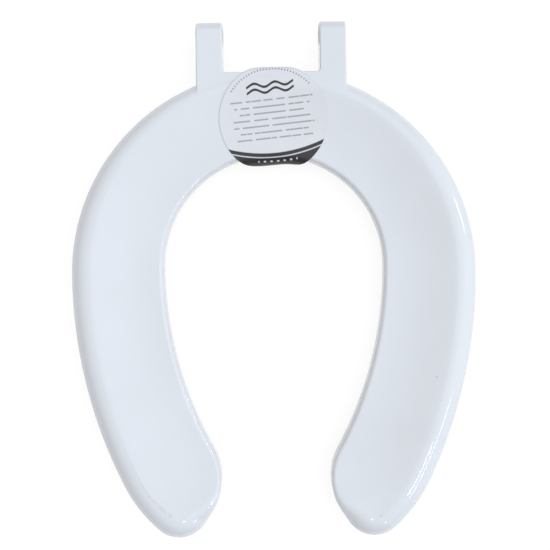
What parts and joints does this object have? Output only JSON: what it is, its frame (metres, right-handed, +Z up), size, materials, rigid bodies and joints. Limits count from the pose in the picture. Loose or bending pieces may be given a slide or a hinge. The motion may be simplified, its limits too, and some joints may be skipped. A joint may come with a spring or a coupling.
{
  "type": "open front toilet seat",
  "caption": "Open-front toilet seat ring: dished horseshoe moulding with two rear hinge arms lined by bushes, rubber buffers screwed underneath and a round paper label on the deck.",
  "frame": {"origin": "centre of the footprint, on the plane that the buffers stand on", "axes": "+Z up, +Y towards the hinge arms at the rear, -Y towards the open front, +X to the right seen from above with the arms at the top"},
  "size_m": [0.3602, 0.4575, 0.0303],
  "materials": {
    "seat_white": "high gloss moulded thermoset",
    "label_paper": "satin printed paper",
    "bush_nylon": "natural nylon",
    "buffer_rubber": "matt pale grey rubber",
    "screw_steel": "plain stainless steel"
  },
  "bodies": {
    "root": {"seat_ring": "seat_white", "round_label": "label_paper", "left_outer_bush": "bush_nylon", "left_inner_bush": "bush_nylon", "right_inner_bush": "bush_nylon", "right_outer_bush": "bush_nylon", "front_left_buffer": "buffer_rubber", "front_right_buffer": "buffer_rubber", "back_left_buffer": "buffer_rubber", "back_right_buffer": "buffer_rubber", "buffer_screws": "screw_steel"}
  },
  "joints": []
}
